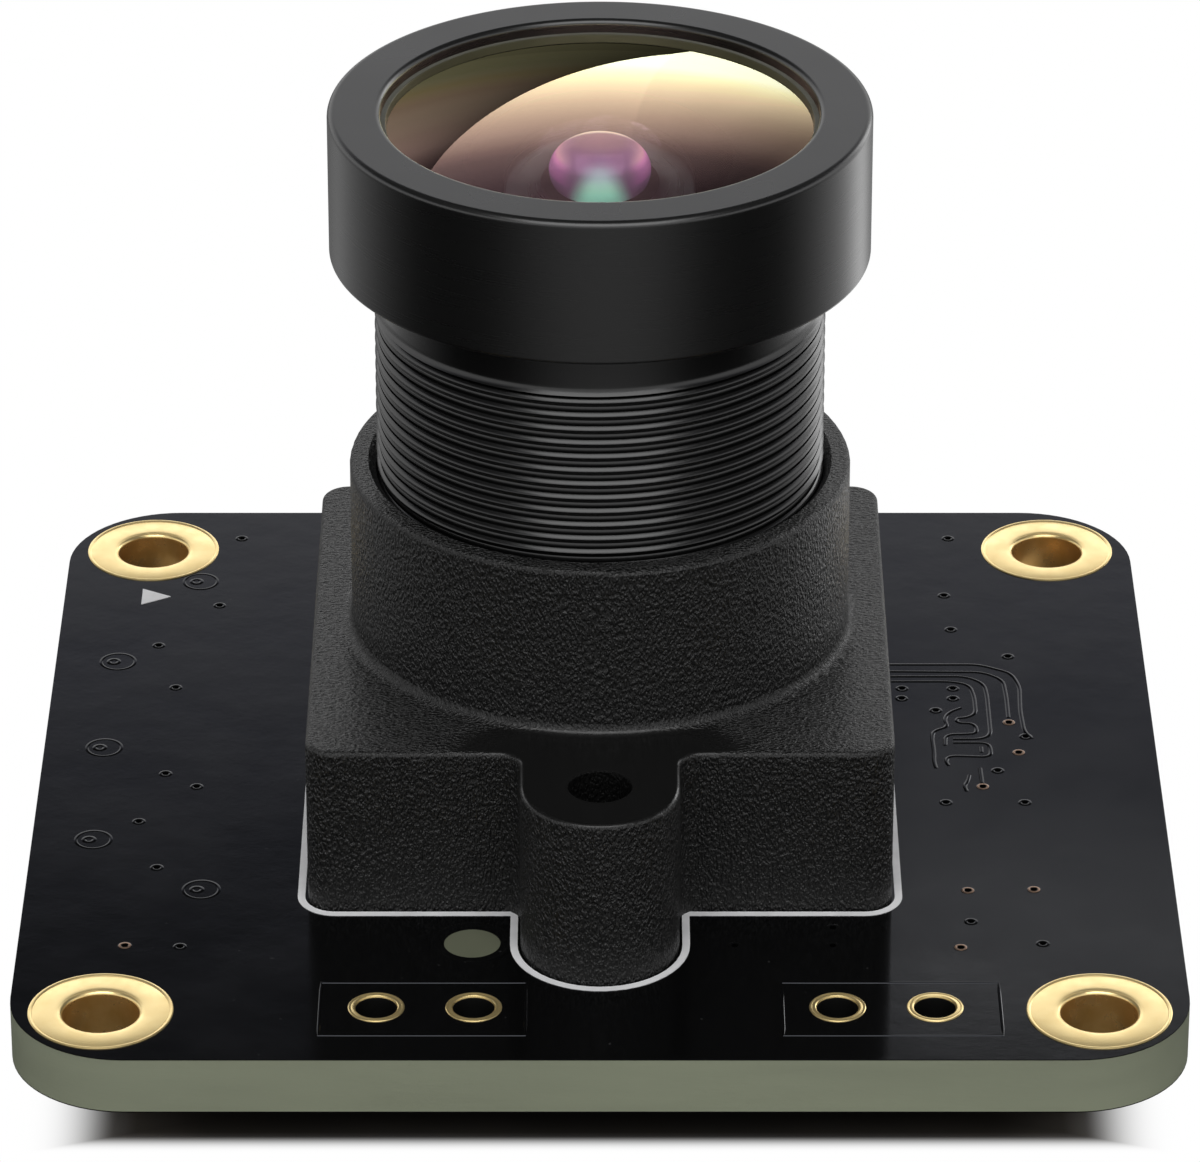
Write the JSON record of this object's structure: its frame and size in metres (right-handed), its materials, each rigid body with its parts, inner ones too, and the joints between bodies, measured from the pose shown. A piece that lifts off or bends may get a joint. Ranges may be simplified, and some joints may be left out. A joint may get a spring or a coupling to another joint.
{
  "type": "camera module",
  "caption": "Square board camera with a screw-in wide lens in a moulded holder, plated corner holes and a cable connector underneath.",
  "frame": {"origin": "centre of the four mounting holes, on the underside of the board", "axes": "+Z along the optical axis, out of the front glass; +X and +Y along the board's edges, with the solder rings at the -Y edge"},
  "size_m": [0.031, 0.0308, 0.0246],
  "materials": {
    "board": "satin black solder mask on grey-green laminate",
    "gold": "polished gold plating",
    "print": "white print",
    "holder": "black moulded plastic with a spark-eroded grain",
    "screw": "blackened steel",
    "sensor_ceramic": "matt ceramic",
    "silicon": "polished silicon",
    "clear_glass": "clear glass",
    "filter_glass": "blue-green coated glass",
    "anodised": "black anodised, satin",
    "coated_glass": "coated optical glass",
    "chip": "moulded epoxy, matt black",
    "tin": "tinned, satin",
    "ferrite": "sintered ferrite, dark grey",
    "capacitor": "tan ceramic",
    "resistor": "black glazed ceramic",
    "connector": "ivory nylon"
  },
  "bodies": {
    "board": {"circuit_board": "board", "board_print": "print", "lens_holder": "holder", "mounting_ring_front_left": "gold", "mounting_ring_front_right": "gold", "mounting_ring_rear_left": "gold", "mounting_ring_rear_right": "gold", "solder_ring_1": "gold", "solder_ring_2": "gold", "solder_ring_3": "gold", "solder_ring_4": "gold", "holder_screw_front": "screw", "holder_screw_rear": "screw", "infrared_filter": "filter_glass", "sensor_package": "sensor_ceramic", "sensor_die": "silicon", "sensor_cover_glass": "clear_glass", "processor_package": "chip", "processor_leads": "tin", "memory_package": "chip", "memory_leads": "tin", "regulator_package_front": "chip", "regulator_package_rear": "chip", "regulator_leads_front": "tin", "regulator_leads_rear": "tin", "power_inductor_front": "ferrite", "power_inductor_rear": "ferrite", "inductor_terminals": "tin", "crystal": "tin", "capacitor_bodies": "capacitor", "capacitor_end_caps": "tin", "resistor_bodies": "resistor", "resistor_end_caps": "tin", "connector_housing": "connector", "connector_contacts": "tin", "connector_tabs": "tin"},
    "glasses": {"front_glass": "coated_glass", "second_glass": "coated_glass", "middle_glass": "clear_glass", "rear_glass": "clear_glass", "front_spacer": "anodised", "aperture_stop": "anodised", "middle_spacer": "anodised", "rear_spacer": "anodised"},
    "barrel": {"lens_barrel": "anodised", "front_cap": "anodised"}
  },
  "joints": [
    {"name": "focus_travel", "type": "slide", "parent": "board", "child": "glasses", "axis": [0, 0, 1], "range_m": [-0.0014, 0.0018]},
    {"name": "focus_turn", "type": "hinge", "parent": "glasses", "child": "barrel", "pos_m": [0, 0, 0.0112], "axis": [0, 0, 1], "range_deg": [-1261, 1621]}
  ],
  "couplings": [
    {"joint": "focus_turn", "follows": "focus_travel", "rad_per_m": 15708}
  ]
}
